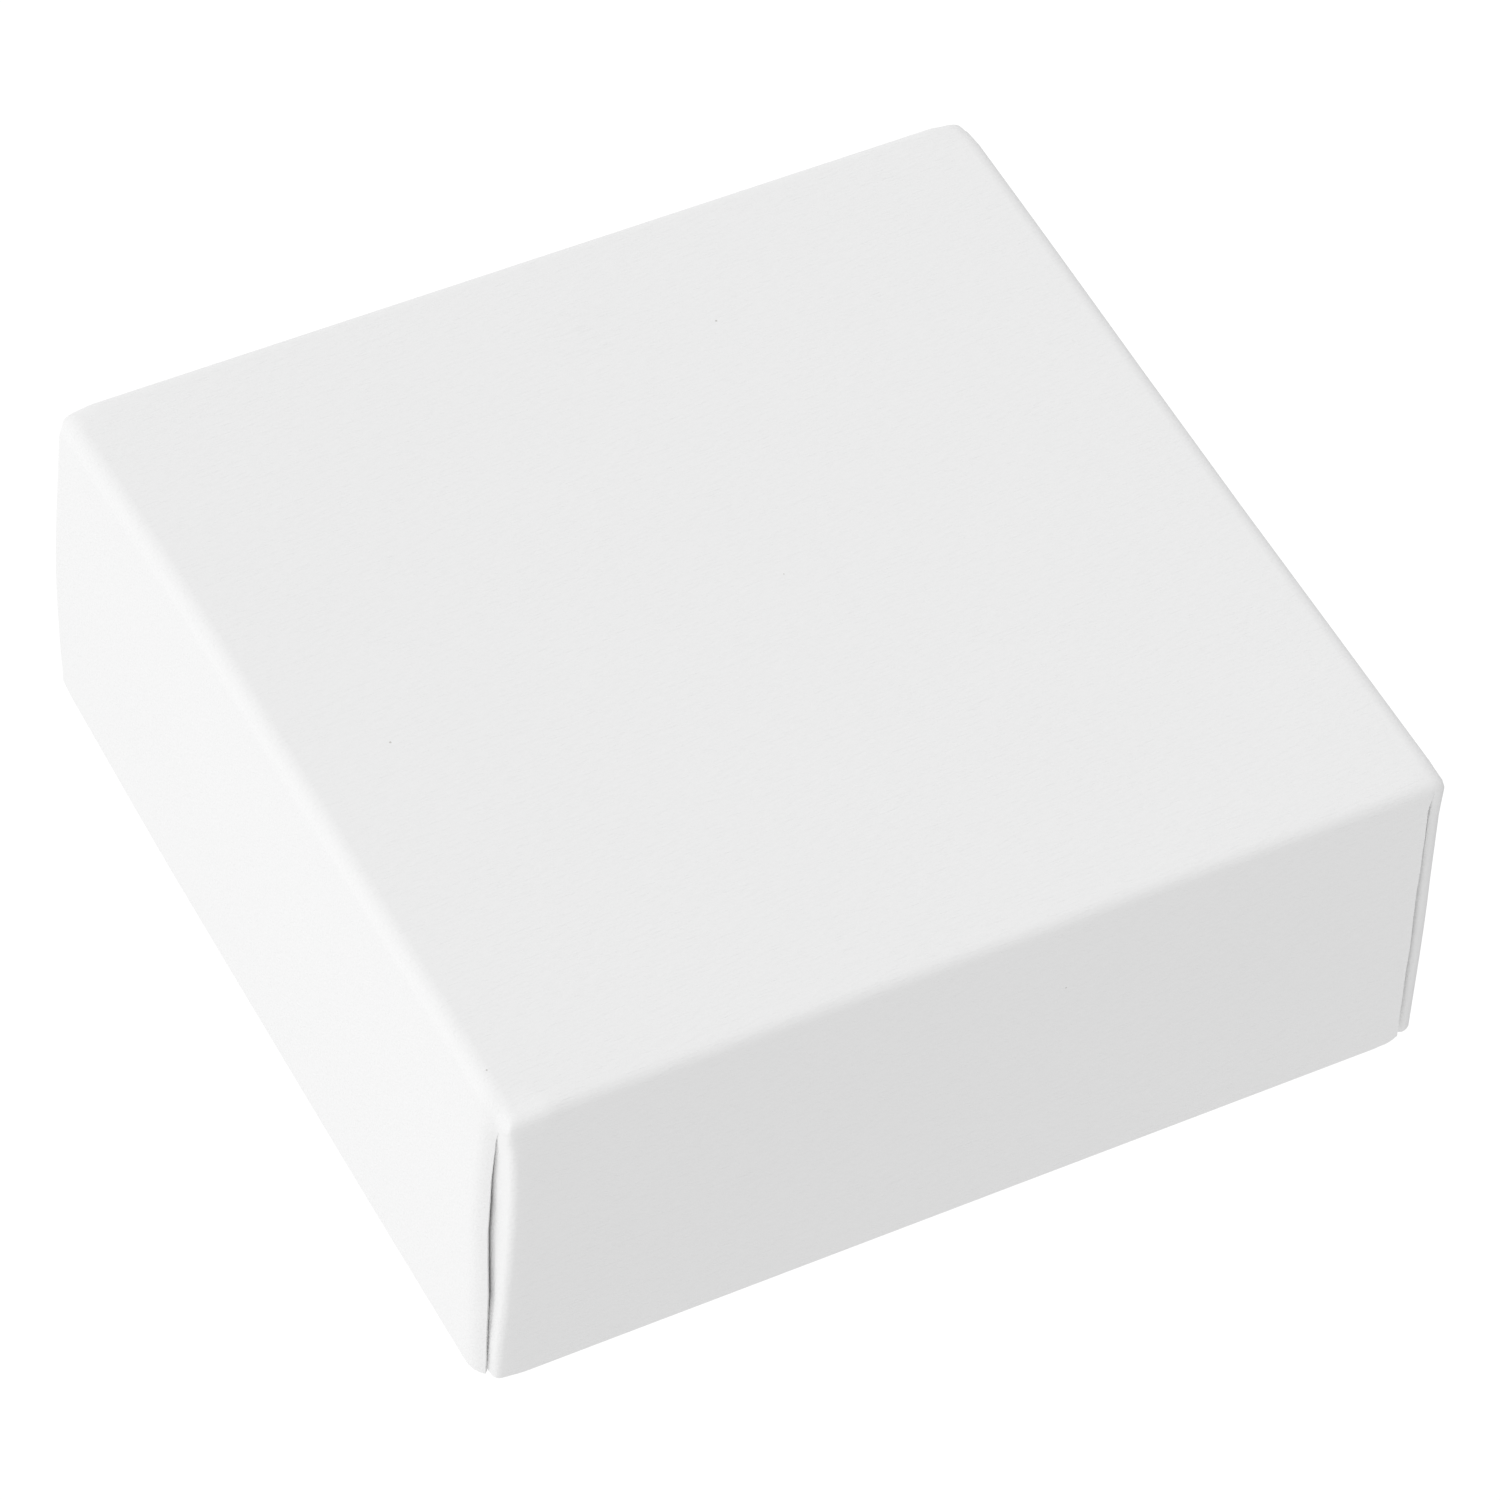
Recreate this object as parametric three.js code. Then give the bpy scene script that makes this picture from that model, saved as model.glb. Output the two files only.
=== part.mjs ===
// Two-piece jewelry gift box folded from white board: a lid that covers the whole base,
// a base tray, and a foam pad with a velvet facing inside the tray.
// Millimetres, +Z up. The origin is the middle of the base's underside.
import * as THREE from 'three';

// Driving dimensions
const lidSize = 90;             // outside of the square lid
const boxHeight = 34.2;         // floor to the top of the closed lid
const boardThickness = 0.45;
const panelGap = 0.1;           // between two panels that touch
const foldRadius = 1.3;         // outside of a rounded corner fold
const tabLength = 14;           // corner tab, from the fold to its free end
const tabInset = 1.2;           // the tab stops this far below and above its wall's edges
const tabChamfer = 2.4;         // on the free end's two corners
const topCornerRadius = 2.6;    // plan corners of the lid's top
const lidClearance = 0.55;      // each side, between the lid's tabs and the base
const lidFloorGap = 0.15;       // the lid hangs on the base rim just clear of the floor
const padClearance = 0.3;       // each side, between the base's tabs and the foam
const padThickness = 19.5;
const facingThickness = 0.9;
const padCornerRadius = 1.5;

// Sizes that follow from them
const doubledBoard = 2 * boardThickness + panelGap;
const baseSize = lidSize - 2 * (doubledBoard + lidClearance);
const baseHeight = boxHeight - boardThickness - 2 * panelGap;
const padSize = baseSize - 2 * (doubledBoard + padClearance);
const padBottom = boardThickness + panelGap;

const whiteBoard = new THREE.MeshStandardMaterial({ color: 0xf4f4f2, roughness: 0.9, metalness: 0 });
const insideBoard = new THREE.MeshStandardMaterial({ color: 0xeceae6, roughness: 0.95, metalness: 0 });
const whiteFoam = new THREE.MeshStandardMaterial({ color: 0xe6e4de, roughness: 1, metalness: 0 });
const whiteVelvet = new THREE.MeshStandardMaterial({ color: 0xf0efec, roughness: 1, metalness: 0 });

// Walls are drawn for the front side and turned about Z to their own side.
// Every wall covers the next one at its right-hand end, seen from outside,
// and folds round the corner behind its neighbour at its left-hand end.
const sides = [
  { name: 'front', turn: 0 },
  { name: 'right', turn: Math.PI / 2 },
  { name: 'back', turn: Math.PI },
  { name: 'left', turn: -Math.PI / 2 },
];

const box = new THREE.Group();

function addMesh(group, name, geometry, material) {
  const mesh = new THREE.Mesh(geometry, material);
  mesh.name = name;
  group.add(mesh);
  return mesh;
}

function roundedSquare(size, radius) {
  const half = size / 2;
  const inner = half - radius;
  const outline = new THREE.Shape();
  outline.moveTo(-inner, -half);
  outline.lineTo(inner, -half);
  outline.absarc(inner, -inner, radius, -Math.PI / 2, 0, false);
  outline.lineTo(half, inner);
  outline.absarc(inner, inner, radius, 0, Math.PI / 2, false);
  outline.lineTo(-inner, half);
  outline.absarc(-inner, inner, radius, Math.PI / 2, Math.PI, false);
  outline.lineTo(-half, -inner);
  outline.absarc(-inner, -inner, radius, Math.PI, 1.5 * Math.PI, false);
  return outline;
}

function flatPanel(size, radius, bottom, thickness) {
  const geometry = new THREE.ExtrudeGeometry(roundedSquare(size, radius), {
    depth: thickness,
    bevelEnabled: false,
    curveSegments: 6,
  });
  geometry.translate(0, 0, bottom);
  return geometry;
}

// Plan outline of the front wall: a straight strip with a quarter-round fold at its left end.
function wallOutline(size) {
  const outside = -size / 2;
  const inside = outside + boardThickness;
  const foldLeft = outside + boardThickness + panelGap;
  const foldCentreX = foldLeft + foldRadius;
  const foldCentreY = outside + foldRadius;
  const cutEdge = size / 2 - foldRadius - panelGap;
  const outline = new THREE.Shape();
  outline.moveTo(cutEdge, outside);
  outline.lineTo(cutEdge, inside);
  outline.lineTo(foldCentreX, inside);
  outline.absarc(foldCentreX, foldCentreY, foldRadius - boardThickness, 1.5 * Math.PI, Math.PI, true);
  outline.lineTo(foldLeft, foldCentreY);
  outline.absarc(foldCentreX, foldCentreY, foldRadius, Math.PI, 1.5 * Math.PI, false);
  return outline;
}

function wall(size, bottom, top) {
  const geometry = new THREE.ExtrudeGeometry(wallOutline(size), {
    depth: top - bottom,
    bevelEnabled: false,
    curveSegments: 8,
  });
  geometry.translate(0, 0, bottom);
  return geometry;
}

// The tab that carries on from the front wall's fold and lies behind the left wall.
function cornerTab(size, bottom, top) {
  const low = bottom + tabInset;
  const high = top - tabInset;
  const foldEnd = -size / 2 + foldRadius + panelGap;
  const freeEnd = foldEnd + tabLength;
  const outline = new THREE.Shape();
  outline.moveTo(foldEnd, low);
  outline.lineTo(freeEnd - tabChamfer, low);
  outline.lineTo(freeEnd, low + tabChamfer);
  outline.lineTo(freeEnd, high - tabChamfer);
  outline.lineTo(freeEnd - tabChamfer, high);
  outline.lineTo(foldEnd, high);
  const geometry = new THREE.ExtrudeGeometry(outline, { depth: boardThickness, bevelEnabled: false });
  geometry.rotateX(Math.PI / 2);
  geometry.rotateZ(Math.PI / 2);
  geometry.translate(-size / 2 + boardThickness + panelGap, 0, 0);
  return geometry;
}

function addWallsAndTabs(part, size, bottom, top, wallMaterial) {
  for (const side of sides) {
    const turned = new THREE.Group();
    turned.rotation.z = side.turn;
    addMesh(turned, `${part}_wall_${side.name}`, wall(size, bottom, top), wallMaterial);
    addMesh(turned, `${part}_tab_${side.name}`, cornerTab(size, bottom, top), insideBoard);
    box.add(turned);
  }
}

function addLid() {
  const underTop = boxHeight - boardThickness;
  addMesh(box, 'lid_top', flatPanel(lidSize, topCornerRadius, underTop, boardThickness), whiteBoard);
  addWallsAndTabs('lid', lidSize, lidFloorGap, underTop - panelGap, whiteBoard);
}

function addBase() {
  addMesh(box, 'base_bottom', flatPanel(baseSize, foldRadius, 0, boardThickness), whiteBoard);
  addWallsAndTabs('base', baseSize, boardThickness + panelGap, baseHeight, whiteBoard);
}

function addInsert() {
  const padTop = padBottom + padThickness;
  addMesh(box, 'foam_pad', flatPanel(padSize, padCornerRadius, padBottom, padThickness), whiteFoam);
  addMesh(box, 'velvet_facing',
    flatPanel(padSize, padCornerRadius, padTop + panelGap, facingThickness), whiteVelvet);
}

addLid();
addBase();
addInsert();

export default box;
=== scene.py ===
import math
import random
import bpy
import bmesh
from mathutils import Matrix, Vector


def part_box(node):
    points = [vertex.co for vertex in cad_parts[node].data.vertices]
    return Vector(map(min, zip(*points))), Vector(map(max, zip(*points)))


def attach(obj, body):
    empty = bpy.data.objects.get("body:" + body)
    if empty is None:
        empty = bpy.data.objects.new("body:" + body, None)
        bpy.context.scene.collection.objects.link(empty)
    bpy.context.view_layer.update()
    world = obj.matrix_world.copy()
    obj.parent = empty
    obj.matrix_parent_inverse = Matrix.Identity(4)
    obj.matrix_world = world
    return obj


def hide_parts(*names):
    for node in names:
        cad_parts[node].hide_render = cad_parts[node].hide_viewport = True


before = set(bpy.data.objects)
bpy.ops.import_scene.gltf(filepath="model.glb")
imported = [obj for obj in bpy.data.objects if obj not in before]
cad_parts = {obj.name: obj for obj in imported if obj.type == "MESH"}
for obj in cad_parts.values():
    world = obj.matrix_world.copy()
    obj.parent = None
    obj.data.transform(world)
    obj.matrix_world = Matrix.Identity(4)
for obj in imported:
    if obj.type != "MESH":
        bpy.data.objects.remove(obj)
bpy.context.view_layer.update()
print("frame loaded")

mm = 0.001
tiny = 0.02 * mm


# small helpers for working in edit mode

def deselectAll():
    if bpy.context.mode != "OBJECT":
        bpy.ops.object.mode_set(mode="OBJECT")
    bpy.ops.object.select_all(action="DESELECT")


def editPiece(piece):
    deselectAll()
    bpy.context.view_layer.objects.active = piece
    piece.select_set(True)
    bpy.ops.object.mode_set(mode="EDIT")


def pickParts(kind, wanted):
    bpy.ops.mesh.select_mode(type=kind)
    bpy.ops.mesh.select_all(action="DESELECT")
    piece = bpy.context.edit_object
    mesh = bmesh.from_edit_mesh(piece.data)
    parts = {"VERT": mesh.verts, "EDGE": mesh.edges, "FACE": mesh.faces}[kind]
    for part in parts:
        if wanted(part):
            part.select_set(True)
    bmesh.update_edit_mesh(piece.data)


def pickVerts(wanted):
    pickParts("VERT", lambda v: wanted(v.co))


def pickEdges(wanted):
    pickParts("EDGE", lambda e: all(wanted(v.co) for v in e.verts))


def pickFaces(wanted):
    pickParts("FACE", lambda f: wanted(f.calc_center_median()))


def slide(x=0.0, y=0.0, z=0.0):
    bpy.ops.transform.translate(value=(x, y, z))


def slideSoftly(offset, reach):
    bpy.ops.transform.translate(
        value=offset, use_proportional_edit=True, use_proportional_connected=True,
        proportional_edit_falloff="SMOOTH", proportional_size=reach)


def cutAcross(axis, place):
    bpy.ops.mesh.select_all(action="SELECT")
    point = [0.0, 0.0, 0.0]
    normal = [0.0, 0.0, 0.0]
    point[axis] = place
    normal[axis] = 1.0
    bpy.ops.mesh.bisect(plane_co=point, plane_no=normal, threshold=0.001 * mm)


def applyModifier(piece, kind, **settings):
    deselectAll()
    bpy.context.view_layer.objects.active = piece
    piece.select_set(True)
    modifier = piece.modifiers.new(kind.title(), kind)
    for setting, value in settings.items():
        setattr(modifier, setting, value)
    bpy.ops.object.modifier_apply(modifier=modifier.name)


def blend(start, end, share):
    share = min(max(share, 0.0), 1.0)
    return start + (end - start) * share


# camera, floor and light

cameraLook = {
    "place": (-243.5 * mm, -426.3 * mm, 565.9 * mm),
    "turn": (41.564, -2.543, -27.036),  # degrees
    "lens": 200.2,
    "sensor": 36,
    "nearest": 0.01,
    "farthest": 100,
}

studioLook = {
    "floorSize": 8.0,
    "floorLevel": -0.05 * mm,
    "domeSize": 6.0,
    "domeSteps": 24,
    "paperGlow": 1.06,
    "air": 0.852,
    "airTilt": (-0.255, 0.091, 0.098),
    "keyFrom": (-0.75, 0.3, 0.59),
    "keyDistance": 2.4,
    "keySize": 1.6,
    "keyPower": 2.95,
}


def addCamera():
    bpy.ops.object.camera_add(location=cameraLook["place"],
                              rotation=[math.radians(a) for a in cameraLook["turn"]])
    camera = bpy.context.object
    camera.name = "boxCamera"
    camera.data.lens = cameraLook["lens"]
    camera.data.sensor_width = cameraLook["sensor"]
    camera.data.clip_start = cameraLook["nearest"]
    camera.data.clip_end = cameraLook["farthest"]
    bpy.context.scene.camera = camera


def plainGlow(name):
    material = bpy.data.materials.new(name)
    material.use_nodes = True
    nodes = material.node_tree.nodes
    nodes.clear()
    glow = nodes.new("ShaderNodeEmission")
    glow.inputs["Strength"].default_value = studioLook["paperGlow"]
    out = nodes.new("ShaderNodeOutputMaterial")
    material.node_tree.links.new(glow.outputs[0], out.inputs[0])
    return material


def cameraOnly(thing):
    thing.visible_diffuse = False
    thing.visible_glossy = False
    thing.visible_transmission = False
    thing.visible_shadow = False


def addStudio():
    deselectAll()
    white = plainGlow("studioWhite")
    bpy.ops.mesh.primitive_plane_add(size=studioLook["floorSize"],
                                     location=(0, 0, studioLook["floorLevel"]))
    floor = bpy.context.object
    floor.name = "studioFloor"
    bpy.ops.mesh.primitive_uv_sphere_add(
        radius=studioLook["domeSize"], segments=2 * studioLook["domeSteps"],
        ring_count=studioLook["domeSteps"])
    dome = bpy.context.object
    dome.name = "studioDome"
    for thing in (floor, dome):
        thing.data.materials.append(white)
        cameraOnly(thing)
    world = bpy.data.worlds.new("studioAir")
    bpy.context.scene.world = world
    world.use_nodes = True
    tree = world.node_tree
    background = tree.nodes["Background"]
    background.inputs["Color"].default_value = (1, 1, 1, 1)
    # the air is brighter on one side, as between large soft boxes
    direction = tree.nodes.new("ShaderNodeTexCoord")
    tilt = tree.nodes.new("ShaderNodeVectorMath")
    tilt.operation = "DOT_PRODUCT"
    tilt.inputs[1].default_value = studioLook["airTilt"]
    level = tree.nodes.new("ShaderNodeMath")
    level.inputs[1].default_value = studioLook["air"]
    tree.links.new(direction.outputs["Generated"], tilt.inputs[0])
    tree.links.new(tilt.outputs["Value"], level.inputs[0])
    tree.links.new(level.outputs[0], background.inputs["Strength"])
    aim = Vector(studioLook["keyFrom"]).normalized()
    bpy.ops.object.light_add(type="AREA", location=aim * studioLook["keyDistance"])
    key = bpy.context.object
    key.name = "keyLight"
    key.rotation_euler = aim.to_track_quat("Z", "Y").to_euler()
    key.data.size = studioLook["keySize"]
    key.data.energy = studioLook["keyPower"]
    bpy.context.scene.view_settings.view_transform = "Standard"
    bpy.context.scene.view_settings.look = "None"


addCamera()
addStudio()
print("camera and studio set")


# materials

def addNode(tree, kind, **values):
    # a value goes to the socket of that name, or else to the node's own setting
    node = tree.nodes.new(kind)
    for name, value in values.items():
        if name in node.inputs:
            node.inputs[name].default_value = value
        else:
            setattr(node, name, value)
    return node


def freshMaterial(name, look):
    material = bpy.data.materials.new(name)
    material.use_nodes = True
    tree = material.node_tree
    shader = tree.nodes["Principled BSDF"]
    shader.inputs["Roughness"].default_value = look["roughness"]
    shader.inputs["Specular IOR Level"].default_value = look["specular"]
    place = addNode(tree, "ShaderNodeTexCoord").outputs["Object"]
    return material, tree, shader, place


def stretched(tree, place, scale):
    mapping = addNode(tree, "ShaderNodeMapping", Scale=scale)
    tree.links.new(place, mapping.inputs["Vector"])
    return mapping.outputs[0]


def grain(tree, place, scale, detail=2.0, contrast=0.5):
    noise = addNode(tree, "ShaderNodeTexNoise", Scale=1.0, Detail=detail, Roughness=contrast)
    tree.links.new(stretched(tree, place, scale), noise.inputs["Vector"])
    return noise.outputs["Fac"]


def tinted(tree, share, first, second):
    mix = addNode(tree, "ShaderNodeMix", data_type="RGBA")
    tree.links.new(share, mix.inputs["Factor"])
    for socket, color in ((mix.inputs[6], first), (mix.inputs[7], second)):
        if isinstance(color, tuple):
            socket.default_value = (*color, 1)
        else:
            tree.links.new(color, socket)
    return mix.outputs[2]


def worked(tree, first, second, operation):
    step = addNode(tree, "ShaderNodeMath", operation=operation)
    for socket, value in zip(step.inputs, (first, second)):
        if isinstance(value, float):
            socket.default_value = value
        else:
            tree.links.new(value, socket)
    return step.outputs[0]


def embossed(tree, shader, height, depth):
    bump = addNode(tree, "ShaderNodeBump", Strength=1.0, Distance=depth)
    tree.links.new(height, bump.inputs["Height"])
    tree.links.new(bump.outputs[0], shader.inputs["Normal"])


def rubbed(tree, place, color, scuff):
    # a rubbed patch: broken streaks inside a soft oval
    spot = addNode(tree, "ShaderNodeMapping", vector_type="TEXTURE",
                   Location=scuff["place"], Scale=scuff["size"])
    tree.links.new(place, spot.inputs["Vector"])
    reach = addNode(tree, "ShaderNodeVectorMath", operation="LENGTH")
    tree.links.new(spot.outputs[0], reach.inputs[0])
    inside = worked(tree, 1.0, reach.outputs["Value"], "SUBTRACT")
    inside = worked(tree, inside, 0.0, "MAXIMUM")
    streak = worked(tree, grain(tree, place, scuff["streak"]), scuff["threshold"], "SUBTRACT")
    streak = worked(tree, streak, 0.0, "MAXIMUM")
    streak = worked(tree, streak, scuff["strength"], "MULTIPLY")
    return tinted(tree, worked(tree, inside, streak, "MULTIPLY"), color, scuff["color"])


def boardMaterial(name, look):
    material, tree, shader, place = freshMaterial(name, look)
    fibre = grain(tree, place, look["fibre"])
    cloud = grain(tree, place, look["cloud"])
    color = tinted(tree, fibre, look["dark"], look["light"])
    color = tinted(tree, cloud, look["cloudColor"], color)
    if look["scuff"]:
        color = rubbed(tree, place, color, look["scuff"])
    speck = addNode(tree, "ShaderNodeTexVoronoi", Scale=look["speckScale"])
    tree.links.new(place, speck.inputs["Vector"])
    parts = addNode(tree, "ShaderNodeSeparateColor")
    tree.links.new(speck.outputs["Color"], parts.inputs[0])
    near = worked(tree, speck.outputs["Distance"], look["speckSize"], "LESS_THAN")
    chosen = worked(tree, parts.outputs[0], look["speckShare"], "LESS_THAN")
    color = tinted(tree, worked(tree, near, chosen, "MULTIPLY"), color, look["speckColor"])
    tree.links.new(color, shader.inputs["Base Color"])
    fine = worked(tree, grain(tree, place, look["tooth"]), look["toothShare"], "MULTIPLY")
    embossed(tree, shader, worked(tree, fibre, fine, "ADD"), look["relief"])
    return material


boardLook = {
    "roughness": 0.85, "specular": 0.2,
    "light": (0.908, 0.908, 0.909), "dark": (0.881, 0.881, 0.882),
    "cloudColor": (0.885, 0.885, 0.886),
    "fibre": (620, 4000, 4000),  # fibres about 2 mm long, lying along X
    "cloud": (45, 60, 60), "tooth": (5200, 6500, 6500), "toothShare": 0.35, "relief": 0.08 * mm,
    "speckScale": 250, "speckSize": 0.028, "speckShare": 0.15, "speckColor": (0.62, 0.61, 0.59),
    "scuff": {
        "place": (1 * mm, 34 * mm, 34 * mm), "size": (7 * mm, 4 * mm, 3 * mm),
        "streak": (420, 2200, 2200), "threshold": 0.5, "strength": 2.2,
        "color": (0.83, 0.83, 0.83),
    },
}
innerLook = dict(
    boardLook, scuff=None,
    light=(0.875, 0.87, 0.855), dark=(0.83, 0.825, 0.805), cloudColor=(0.85, 0.845, 0.825),
    fibre=(380, 1900, 1900), relief=0.09 * mm, speckShare=0.6, speckSize=0.05)
edgeLook = dict(
    boardLook, scuff=None, roughness=0.95,
    light=(0.88, 0.878, 0.87), dark=(0.80, 0.797, 0.785), fibre=(2600, 6000, 5200))
whiteBoard = boardMaterial("whiteBoard", boardLook)
innerSkin = boardMaterial("innerSkin", innerLook)
cutEdge = boardMaterial("cutEdge", edgeLook)


def foamMaterial(name, look):
    material, tree, shader, place = freshMaterial(name, look)
    cells = addNode(tree, "ShaderNodeTexVoronoi", Scale=look["cellScale"])
    tree.links.new(place, cells.inputs["Vector"])
    # painted shade: between the cells, where the bump sinks, the colour turns to the darker pore colour
    poreShadeMask = worked(tree, cells.outputs["Distance"], look["poreSize"], "GREATER_THAN")
    color = tinted(tree, poreShadeMask, look["skin"], look["poreShade"])
    color = tinted(tree, grain(tree, place, look["cloud"]), color, look["cloudColor"])
    tree.links.new(color, shader.inputs["Base Color"])
    embossed(tree, shader, worked(tree, 1.0, cells.outputs["Distance"], "SUBTRACT"), look["relief"])
    return material


# the pore colour is painted shade inside the foam's open cells
foamLook = {
    "roughness": 0.95, "specular": 0.1, "cellScale": 2700, "poreSize": 0.62,
    "skin": (0.86, 0.855, 0.83), "poreShade": (0.70, 0.69, 0.66), "cloudColor": (0.82, 0.815, 0.79),
    "cloud": (90, 90, 90), "relief": 0.18 * mm,
}
openFoam = foamMaterial("openFoam", foamLook)


def velvetMaterial(name, look):
    material, tree, shader, place = freshMaterial(name, look)
    shader.inputs["Sheen Weight"].default_value = look["sheen"]
    shader.inputs["Sheen Roughness"].default_value = look["sheenRoughness"]
    layAndSheen = grain(tree, place, look["layAndSheen"], look["layDetail"], look["layContrast"])
    pileAndShade = grain(tree, place, look["pileAndShade"], look["pileDetail"])
    # painted sheen: the lay streaks turn the velvet darker where the pile lies the other way
    color = tinted(tree, layAndSheen, look["shade"], look["light"])
    # painted shade: the low spots of the pile take the darker root colour
    color = tinted(tree, pileAndShade, look["paintedRootShade"], color)
    tree.links.new(color, shader.inputs["Base Color"])
    streaks = worked(tree, layAndSheen, look["layDepth"], "MULTIPLY")
    embossed(tree, shader, worked(tree, pileAndShade, streaks, "ADD"), look["relief"])
    return material


velvetLook = {
    "roughness": 0.95, "specular": 0.1, "sheen": 0.35, "sheenRoughness": 0.4,
    # the shade colour is painted sheen along the lay streaks; the root colour is painted shade down in
    # the pile
    "light": (0.90, 0.895, 0.88), "shade": (0.80, 0.79, 0.77), "paintedRootShade": (0.77, 0.76, 0.735),
    "layAndSheen": (60, 28, 60),  # the pile lies in soft streaks, brushed along Y; the darker streaks are painted sheen
    "layDetail": 3.0, "layContrast": 0.55, "layDepth": 2.0,
    "pileAndShade": (5200, 4200, 5200), "pileDetail": 1.0, "relief": 0.12 * mm,
}
whiteVelvet = velvetMaterial("whiteVelvet", velvetLook)
print("materials mixed")


# a folded blank: one sheet with four walls, each with a tab behind its neighbour

def foldBlank(name, look):
    half = look["half"]
    top = look["top"]
    bottom = look["bottom"]
    deselectAll()
    bpy.ops.mesh.primitive_cube_add(size=1, location=(0, 0, (top + bottom) / 2),
                                    scale=(2 * half, 2 * half, top - bottom))
    blank = bpy.context.object
    blank.name = name
    bpy.ops.object.transform_apply(location=True, rotation=True, scale=True)
    editPiece(blank)
    pickFaces(lambda c: c.z < bottom + tiny)
    bpy.ops.mesh.delete(type="FACE")
    for side, share in look["foldShares"].items():
        pickParts("EDGE", lambda e: foldSide(e, top) == side)
        bpy.ops.transform.edge_bevelweight(value=share)
    applyModifier(blank, "BEVEL", limit_method="WEIGHT", width=look["foldRadius"],
                  segments=look["foldSteps"])
    editPiece(blank)
    for distance in look["columns"]:
        for axis in (0, 1):
            cutAcross(axis, half - distance)
            cutAcross(axis, distance - half)
    for drop in look["rows"]:
        cutAcross(2, top - drop)
    for shape in (openSeam, growTab, crushCorner):
        for corner in look["corners"]:
            editPiece(blank)
            shape(look, corner)
            deselectAll()
            blank.data.transform(Matrix.Rotation(math.radians(-90), 4, "Z"))
    return blank


def foldSide(edge, top):
    middle = (edge.verts[0].co + edge.verts[1].co) / 2
    if edge.is_boundary:
        return "cut"
    if middle.z < top - tiny:
        return "nearUpright" if max(middle.x, middle.y) < 0 else "upright"
    if abs(middle.x) > abs(middle.y):
        return "right" if middle.x > 0 else "left"
    return "back" if middle.y > 0 else "front"


def along(profile, drop):
    # read off a list of (mm below the top, mm), straight from each entry to the next
    for (startDrop, start), (endDrop, end) in zip(profile, profile[1:]):
        if drop < endDrop * mm:
            return blend(start, end, (drop / mm - startDrop) / (endDrop - startDrop)) * mm
    return profile[-1][1] * mm


# The next three work on the corner at -X -Y. The wall on -X covers it with its cut edge,
# and the wall on -Y folds round it. foldBlank turns the blank between corners.

settleIn = 3 * mm  # below the top, where the cut edge is free to wander
leastStrip = 0.03  # of the strip's width, where the cover reaches past the bend


def openSeam(look, corner):
    edge = -look["half"]
    radius = look["foldRadius"]
    seam = edge + corner["seam"]
    fold = edge + radius
    wallEnd = edge + corner["slideReach"]
    coverEnd = seam + corner["pullReach"]
    highest = look["top"] - corner["seamStart"]
    chance = random.Random(corner["seed"])
    slitEnd = fold - radius / 6  # the slit stays on the wall's side of the bend
    pickEdges(lambda p: p.x < slitEnd and abs(p.y - seam) < tiny and p.z < highest + tiny)
    bpy.ops.mesh.edge_split(type="EDGE")
    onCover = pointsOn(lambda c: c.x < fold and seam < c.y < coverEnd)
    onFold = pointsOn(lambda c: c.x < fold and c.y < seam) - onCover  # the strip by the bend
    onWall = pointsOn(lambda c: fold < c.x < wallEnd and c.y < fold) - onFold
    for level in levelsOf(onCover | onFold | onWall):
        drop = look["top"] - level
        step = along(corner["foldStep"], drop)
        pull = along(corner["seamLine"], drop) - corner["seam"]
        wander = chance.uniform(-1, 1) * corner["wander"] * min(drop / settleIn, 1)
        pickPoints(onWall, lambda p: abs(p.z - level) < tiny)
        bpy.ops.transform.resize(value=(1 - step / (wallEnd - fold), 1, 1),
                                 center_override=(wallEnd, 0, 0))
        pickPoints(onFold, lambda p: abs(p.z - level) < tiny)
        slide(x=step)
        for distance in look["columns"]:
            if radius < distance < corner["seam"] + tiny:  # the strip slopes in under the cover
                inward = along(corner["tuck"], drop) * (distance - radius) / (corner["seam"] - radius)
                pickPoints(onFold, lambda p: abs(p.z - level) < tiny
                           and abs(p.y - edge - distance) < tiny)
                slide(x=inward)
        pickPoints(onFold, lambda p: abs(p.z - level) < tiny and p.y > fold + tiny)
        narrow = max((corner["seam"] + pull + wander - radius) / (corner["seam"] - radius), leastStrip)
        bpy.ops.transform.resize(value=(1, narrow, 1), center_override=(0, fold, 0))
        for distance in look["columns"]:
            past = (distance - corner["seam"]) / corner["rollWidth"]
            if -tiny / corner["rollWidth"] < past < 1:
                pickPoints(onCover, lambda p: abs(p.z - level) < tiny
                           and abs(p.y - edge - distance) < tiny)
                slide(x=along(corner["roll"], drop) * (1 - past) ** 3)
        pickPoints(onCover, lambda p: abs(p.z - level) < tiny)
        bpy.ops.transform.resize(value=(1, 1 - (pull + wander) / corner["pullReach"], 1),
                                 center_override=(0, coverEnd, 0))
    cutEnd = seam + along(corner["seamLine"], look["top"] - look["bottom"]) - corner["seam"]
    for points, rises in ((onCover, corner["coverRise"]), (onFold, corner["foldRise"])):
        for near, far, rise in rises:
            pickPoints(points, lambda p: p.z < look["bottom"] + tiny
                       and near * mm <= abs(p.y - cutEnd) < far * mm)
            slide(z=rise * mm)


def pointsOn(wanted):
    # the points of the faces whose middle is wanted
    mesh = bmesh.from_edit_mesh(bpy.context.edit_object.data)
    mesh.verts.index_update()
    return {v.index for f in mesh.faces if wanted(f.calc_center_median()) for v in f.verts}


def levelsOf(points):
    mesh = bmesh.from_edit_mesh(bpy.context.edit_object.data)
    mesh.verts.ensure_lookup_table()
    return sorted({round(mesh.verts[index].co.z, 5) for index in points})


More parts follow.
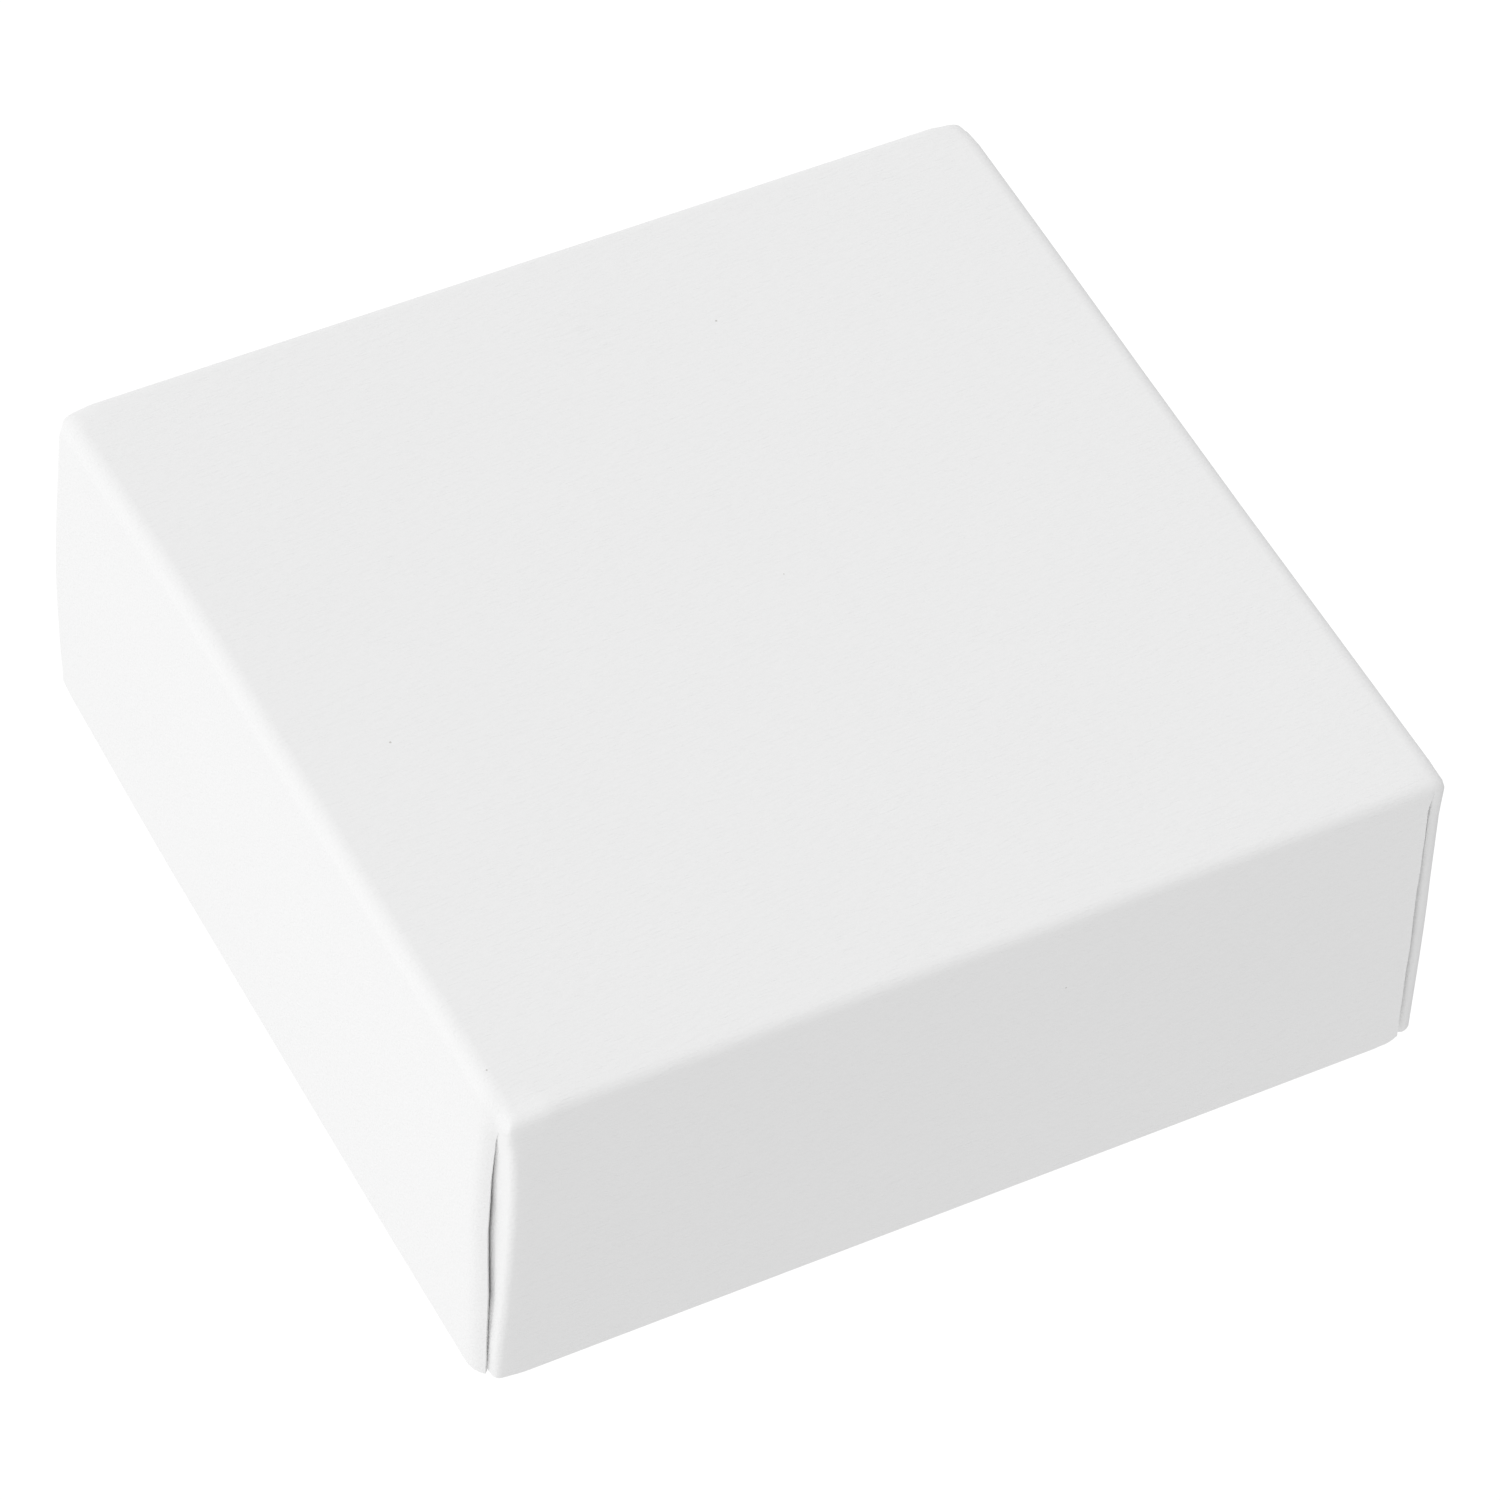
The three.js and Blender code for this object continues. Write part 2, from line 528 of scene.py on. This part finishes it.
def pickPoints(points, wanted):
    bpy.ops.mesh.select_mode(type="VERT")
    bpy.ops.mesh.select_all(action="DESELECT")
    mesh = bmesh.from_edit_mesh(bpy.context.edit_object.data)
    mesh.verts.ensure_lookup_table()
    for index in points:
        if wanted(mesh.verts[index].co):
            mesh.verts[index].select_set(True)
    bmesh.update_edit_mesh(bpy.context.edit_object.data)


gluedTab = {
    "length": 11 * mm, "steps": 3, "glueGap": 0.08 * mm, "squeeze": 0.985, "endSqueeze": 0.86,
}


def growTab(look, corner):
    edge = -look["half"]
    tab = look["tab"]
    highest = look["top"] - max(corner["seamStart"], look["foldRadius"])
    fold = edge + look["foldRadius"]

    margin = 1 * mm

    def onStripEdge(e):
        # the strip's own cut edge: upright, with its face on the bend's side
        start, end = (v.co for v in e.verts)
        if not e.is_boundary or abs(start.z - end.z) < 2 * abs(start.y - end.y) + tiny:
            return False
        side = e.link_faces[0].calc_center_median()
        return (all(p.x < fold + margin and p.y < edge + corner["seam"] + margin
                    and p.z < highest + tiny for p in (start, end))
                and side.y < (start.y + end.y) / 2)

    pickParts("EDGE", onStripEdge)
    middle = (edge + look["thickness"] + tab["glueGap"], 0, (look["top"] + look["bottom"]) / 2)
    for count in range(tab["steps"]):
        bpy.ops.mesh.extrude_region_move(
            TRANSFORM_OT_translate={"value": (0, tab["length"] / tab["steps"], 0)})
        squeeze = tab["endSqueeze"] if count == tab["steps"] - 1 else tab["squeeze"]
        bpy.ops.transform.resize(value=(0, 1, squeeze), center_override=middle)


crushZone = {
    "bendShare": 0.75, "footHeight": 1.5 * mm,
    "seamShare": 1.3, "smoothing": 0.5, "passes": 3,
}


def crushCorner(look, corner):
    if corner["crush"]:
        fold = look["foldRadius"] * crushZone["bendShare"] - look["half"]
        top = look["top"] - look["foldRadius"]
        foot = look["bottom"] + crushZone["footHeight"]
        pickVerts(lambda p: p.x < fold and p.y < fold and p.z > top)
        slideSoftly(Vector(corner["crush"]) * mm, corner["crushReach"])
        pickVerts(lambda p: p.x < fold and p.y < fold and p.z < foot)
        slideSoftly(Vector(corner["footTuck"]) * mm, corner["footReach"])
        near = corner["seam"] * crushZone["seamShare"] - look["half"]
        lowest = look["top"] - corner["seamStart"] - corner["smoothBelow"]
        pickParts("VERT", lambda v: v.co.x < near and v.co.y < near and v.co.z > lowest
                  and not v.is_boundary)
        bpy.ops.mesh.vertices_smooth(factor=crushZone["smoothing"], repeat=crushZone["passes"])


# slack in the folded board: a cage's points are pushed from square

def slacken(piece, look):
    low, high = look["cage"]
    deselectAll()
    middle = [(a + b) / 2 for a, b in zip(low, high)]
    bpy.ops.object.add(type="LATTICE", location=middle)
    cage = bpy.context.object
    cage.scale = [b - a for a, b in zip(low, high)]
    cage.data.interpolation_type_u = "KEY_LINEAR"
    cage.data.interpolation_type_v = "KEY_CARDINAL"
    cage.data.interpolation_type_w = "KEY_CARDINAL"
    cage.data.points_u = look["points"][0]
    cage.data.points_v = look["points"][1]
    cage.data.points_w = look["points"][2]
    for (u, v, w), push in look["pushes"].items():
        index = u + look["points"][0] * (v + look["points"][1] * w)
        point = cage.data.points[index]
        point.co_deform = point.co_deform + Vector(
            [p * mm / s for p, s in zip(push, cage.scale)])
    applyModifier(piece, "LATTICE", object=cage)
    bpy.data.objects.remove(cage)


def thicken(piece, look):
    for material in (whiteBoard, innerSkin, cutEdge):
        piece.data.materials.append(material)
    applyModifier(piece, "SOLIDIFY", thickness=look["thickness"], offset=-1,
                  material_offset=1, material_offset_rim=2)


def finishPiece(piece, look, body, nodes):
    deselectAll()
    piece.select_set(True)
    bpy.context.view_layer.objects.active = piece
    bpy.ops.object.shade_smooth_by_angle(angle=math.radians(look["smoothAngle"]))
    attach(piece, body)
    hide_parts(*nodes)


# A corner's lists run down from the top in mm: (drop, value). A rise is (near, far, rise)
# along the foot from the cut edge, also in mm.
nearCorner = {
    "seam": 2.8 * mm, "seamStart": 3.3 * mm, "pullReach": 7 * mm, "slideReach": 9 * mm,
    "seamLine": [(0, 2.8), (3.3, 2.1), (5, 2.75), (11, 3.1), (18, 2.8), (24.5, 1.9), (34, 1.2)],
    "foldStep": [(0, 0), (1.5, 0.35), (3.3, 0.65), (4.2, 0.85), (8, 1.15), (15, 1.4), (24, 1.45),
                 (34, 1.1)],
    "roll": [(0, 0), (1.5, 0.3), (3.3, 0.7), (5, 0.85), (24, 0.95), (34, 0.9)], "rollWidth": 2 * mm,
    "tuck": [(0, 0), (3.3, 0), (6, 0.1), (34, 0.1)], "wander": 0.02 * mm,
    "crush": (0.1, 0.1, -0.5), "crushReach": 3.5 * mm, "smoothBelow": 1.9 * mm,
    "footTuck": (0.1, 0.05, 0.3), "footReach": 3 * mm,
    "coverRise": [], "foldRise": [], "seed": 3,
}
rightCorner = {
    "seam": 2.4 * mm, "seamStart": 1.1 * mm, "pullReach": 6 * mm, "slideReach": 7 * mm,
    "seamLine": [(0, 2.4), (1.1, 1.85), (3, 2.1), (10, 2.15), (16, 2.35), (24, 2.3), (34, 2.15)],
    "foldStep": [(0, 0.0), (1.5, 0.1), (5, 0.4), (14, 0.6), (34, 0.65)],
    "roll": [(0, 0), (34, 0)], "rollWidth": 1 * mm,
    "tuck": [(0, 0), (1.1, 0), (3, 0.9), (34, 1.2)],
    "wander": 0.05 * mm, "crush": (0, 0, -0.1), "crushReach": 2 * mm, "smoothBelow": 0.0,
    "footTuck": (0, 0, 0), "footReach": 1 * mm,
    "coverRise": [(0, 0.25, 0.65), (0.25, 0.55, 0.34), (0.55, 0.9, 0.18), (0.9, 1.9, 0.07)],
    "foldRise": [(0, 0.3, 0.1)], "seed": 5,
}
backCorner = dict(rightCorner, seed=8, seamStart=2.2 * mm, crush=(0.12, 0.12, -0.12),
                  crushReach=2.5 * mm)
leftCorner = dict(backCorner, seed=13, crush=(0.08, 0.08, -0.12), footTuck=(0, 0.1, 0.1),
                  footReach=3 * mm)

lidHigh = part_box("lid_top")[1]
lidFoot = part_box("lid_wall_front")[0][2]
lidLook = {
    "half": lidHigh[0],
    "top": lidHigh[2],
    "bottom": lidFoot,
    "thickness": 0.45 * mm,
    "foldRadius": 1.55 * mm,
    "foldShares": {"left": 1.0, "front": 0.66, "right": 1.0, "back": 0.95, "upright": 0.85,
                   "nearUpright": 0.46},
    "foldSteps": 6,
    "smoothAngle": 35,
    "columns": [d * mm for d in (1.65, 1.95, 2.4, 2.8, 3.1, 3.5, 4, 4.6, 5.4, 6.8, 9, 13, 19, 27, 36)],
    "rows": [d * mm for d in (2, 2.6, 3.3, 4.2, 5.2, 6.5, 8.5, 11, 14, 17.5, 21, 24.5, 27.5, 30,
                              31.8, 33)],
    "corners": [nearCorner, rightCorner, backCorner, leftCorner],
    "tab": gluedTab,
}
lidSlack = {
    "cage": (Vector((-45, -45, 0)) * mm, Vector((45, 45, 34.2)) * mm),
    "points": (2, 5, 3),  # across, along and up
    "pushes": {
        (0, 0, 0): (-1.43, -0.3, 0), (0, 1, 0): (-1.5, 0, 0), (0, 2, 0): (-1.45, 0, 0),
        (0, 3, 0): (-1.35, 0, 0), (0, 4, 0): (-0.95, 0, 0),
        (0, 0, 1): (-0.7, -0.1, 0), (0, 1, 1): (-0.85, 0, 0), (0, 2, 1): (-0.85, 0, 0),
        (0, 3, 1): (-0.85, 0, 0), (0, 4, 1): (-1.3, 0, 0), (0, 4, 2): (-0.55, -0.25, 0),
        (1, 0, 0): (0.75, 0, 0), (1, 0, 1): (0.6, 0, 0), (1, 1, 0): (0.4, 0, 0),
        (1, 3, 2): (0.2, 0, 0), (1, 4, 2): (0.3, -0.15, 0),
    },
}

lidNodes = [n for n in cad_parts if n.startswith("lid_")]
lidBoard = foldBlank("lidBoard", lidLook)
slacken(lidBoard, lidSlack)
thicken(lidBoard, lidLook)
finishPiece(lidBoard, lidLook, "lid", lidNodes)
print("lid folded", len(lidBoard.data.polygons), "faces")


# the tray: the same blank, upside down, with square-set walls

trayCorner = {
    "seam": 2.4 * mm, "seamStart": 0.8 * mm, "pullReach": 5 * mm, "slideReach": 7 * mm,
    "seamLine": [(0, 2.4), (2, 1.8), (33, 1.8)],
    "foldStep": [(0, 0.0), (1.5, 0.35), (3, 0.55), (33, 0.55)],
    "roll": [(0, 0), (33, 0)], "rollWidth": 1 * mm, "tuck": [(0, 0), (33, 0)],
    "wander": 0.05 * mm, "crush": None,
    "coverRise": [(0, 0.25, 0.25)], "foldRise": [(0, 0.25, 0.3)], "seed": 21,
}
baseLow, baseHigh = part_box("base_bottom")
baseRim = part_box("base_wall_front")[1][2]
trayLook = {
    "half": baseHigh[0],
    "top": 0.0,
    "bottom": baseLow[2] - baseRim,  # folded with its floor uppermost, then turned over
    "thickness": 0.45 * mm,
    "foldRadius": 1.3 * mm,
    "foldShares": {"left": 1.0, "front": 1.0, "right": 1.0, "back": 1.0, "upright": 0.6,
                   "nearUpright": 0.6},
    "foldSteps": 5,
    "smoothAngle": 35,
    "columns": [d * mm for d in (1.5, 1.9, 2.4, 2.8, 3.4, 4.2, 5.4, 7.4, 11, 18, 30)],
    "rows": [d * mm for d in (2, 3, 5, 8, 12, 17, 22, 27, 30.5, 32.4)],
    "corners": [dict(trayCorner, seed=trayCorner["seed"] + count) for count in range(4)],
    "tab": gluedTab,
}
baseNodes = [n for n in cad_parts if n.startswith("base_")]
baseBoard = foldBlank("baseBoard", trayLook)
baseBoard.data.transform(Matrix.Translation((0, 0, baseLow[2])) @ Matrix.Scale(-1, 4, (0, 0, 1)))
editPiece(baseBoard)
bpy.ops.mesh.select_all(action="SELECT")
bpy.ops.mesh.flip_normals()
thicken(baseBoard, trayLook)
finishPiece(baseBoard, trayLook, "base", baseNodes)
print("tray folded", len(baseBoard.data.polygons), "faces")


# the insert: a foam block with a flocked facing pressed over its top

def softBlock(name, low, high, look):
    deselectAll()
    middle = [(a + b) / 2 for a, b in zip(low, high)]
    bpy.ops.mesh.primitive_cube_add(size=1, location=middle, scale=[b - a for a, b in zip(low, high)])
    block = bpy.context.object
    block.name = name
    bpy.ops.object.transform_apply(location=True, rotation=True, scale=True)
    editPiece(block)
    pickParts("EDGE", lambda e: abs(e.verts[0].co.z - e.verts[1].co.z) > tiny)
    bpy.ops.mesh.bevel(offset=look["cornerRadius"], segments=look["cornerSteps"], affect="EDGES")
    for rim, radius in ((high[2], look["topRadius"]), (low[2], look["footRadius"])):
        pickEdges(lambda p: abs(p.z - rim) < tiny)
        bpy.ops.mesh.bevel(offset=radius, segments=look["rimSteps"], affect="EDGES")
    for share in look["rows"]:
        cutAcross(2, blend(low[2], high[2], share))
    for axis in (0, 1):
        for distance in look["cuts"]:
            cutAcross(axis, distance)
            if distance:
                cutAcross(axis, -distance)
    return block


foamShape = {
    "cornerRadius": 1.5 * mm, "cornerSteps": 5,
    "topRadius": 0.7 * mm, "footRadius": 0.9 * mm, "rimSteps": 4, "smoothAngle": 60,
    "rows": (0.12, 0.25, 0.4, 0.55, 0.7, 0.85),
    "cuts": [d * mm for d in (0, 6, 12, 18, 24, 30, 36, 39.5)],
    "waist": 0.35 * mm, "waistPlaces": (-30, -12, 6, 24), "waistWander": 3,  # places in mm
    "waistHalf": 4 * mm, "waistReach": 11 * mm, "firmFoot": 4 * mm, "firmTop": 3 * mm,
    "fill": 0.95, "seed": 31,
}
foamLow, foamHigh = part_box("foam_pad")
foamPad = softBlock("foamPad", foamLow, foamHigh, foamShape)
chance = random.Random(foamShape["seed"])
half = foamHigh[0]
for side in (-1, 1):
    for axis in (0, 1):
        for place in foamShape["waistPlaces"]:
            # a hand-cut block: its sides draw in a little between the corners, never quite evenly
            draw = [0.0, 0.0, 0.0]
            draw[axis] = -side * foamShape["waist"] * chance.uniform(0.5, 1)
            wander = chance.uniform(-foamShape["waistWander"], foamShape["waistWander"])
            middle = (place + wander) * mm
            pickVerts(lambda p: p[axis] * side > half - tiny
                      and abs(p[1 - axis] - middle) < foamShape["waistHalf"]
                      and foamLow[2] + foamShape["firmFoot"] < p.z < foamHigh[2] - foamShape["firmTop"])
            slideSoftly(draw, foamShape["waistReach"])
deselectAll()
foamPad.data.materials.append(openFoam)
finishPiece(foamPad, foamShape, "insert", ["foam_pad"])
print("foam cut")

facingShape = {
    "cornerRadius": 1.5 * mm, "cornerSteps": 5,
    "topRadius": 0.7 * mm, "footRadius": 0.12 * mm, "rimSteps": 4, "smoothAngle": 50, "rows": (),
    "cuts": [d * mm for d in (0, 0.3, 0.7, 1.4, 3, 6, 10, 14, 17, 18, 19, 23, 26, 26.3, 26.7, 27.4,
                              29, 31, 34, 37, 39.5)],
    "ringSlot": 18 * mm,  # half its length
    "chainSlots": (17 * mm, 31 * mm, 26 * mm),  # inner end, outer end and distance from the middle
    "slotProfile": ((0.0, -0.8), (0.3, -0.42), (0.7, -0.1), (1.4, -0.02)),  # mm aside, mm down
    "crown": 0.45 * mm, "crownCore": 12 * mm, "crownReach": 34 * mm, "fill": 0.95,
}
facingLow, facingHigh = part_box("velvet_facing")
velvetFacing = softBlock("velvetFacing", facingLow, facingHigh, facingShape)


def pressSlot(onSlot):
    for distance, depth in facingShape["slotProfile"]:
        for side in ((-1, 1) if distance else (1,)):
            pickVerts(lambda p: p.z > facingHigh[2] - tiny and onSlot(p, side * distance * mm))
            slide(z=depth * mm)


inner, outer, across = facingShape["chainSlots"]
pressSlot(lambda p, away: abs(p.x - away) < tiny and abs(p.y) < facingShape["ringSlot"] + tiny)
for side in (-1, 1):
    pressSlot(lambda p, away: abs(p.y - across - away) < tiny
              and inner - tiny < p.x * side < outer + tiny)
core = facingShape["crownCore"]
pickVerts(lambda p: abs(p.x) < core and abs(p.y) < core and p.z > facingLow[2] + tiny)
bpy.ops.transform.translate(
    value=(0, 0, facingShape["crown"]), use_proportional_edit=True,
    proportional_edit_falloff="SMOOTH", proportional_size=facingShape["crownReach"])
deselectAll()
velvetFacing.data.materials.append(whiteVelvet)
finishPiece(velvetFacing, facingShape, "insert", ["velvet_facing"])
print("facing pressed")
